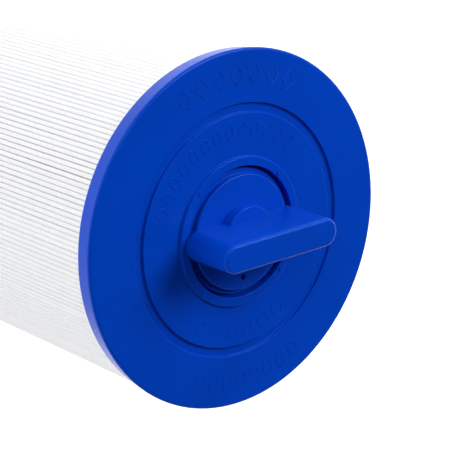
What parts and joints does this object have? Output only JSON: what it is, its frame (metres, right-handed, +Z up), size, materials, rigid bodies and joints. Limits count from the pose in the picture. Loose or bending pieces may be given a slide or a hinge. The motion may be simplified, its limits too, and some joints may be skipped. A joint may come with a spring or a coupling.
{
  "type": "filter cartridge",
  "caption": "Pleated filter cartridge with two cast end caps, a T-bar handle on the closed end and a threaded nipple outlet on the other.",
  "frame": {"origin": "centre of the end face of the threaded nipple, on the axis; the cartridge stands on that face", "axes": "+Z up the cartridge's axis towards the handle, +X along the T-bar of the handle"},
  "size_m": [0.1508, 0.1508, 0.3118],
  "materials": {
    "cap_blue": "smooth cast polyurethane, satin to gloss",
    "handle_blue": "smooth moulded plastic, satin to gloss",
    "media": "white spunbonded polyester sheet, matt, with fine fibre marks",
    "seam": "hot-melt bond line, matt",
    "core": "moulded polypropylene, matt white",
    "nipple": "moulded plastic, semi-gloss off-white"
  },
  "bodies": {
    "root": {"top_end_cap": "cap_blue", "handle_insert": "handle_blue", "pleated_media": "media", "seam_strip": "seam", "core_tube": "core", "bottom_end_cap": "cap_blue", "threaded_nipple": "nipple"}
  },
  "joints": []
}
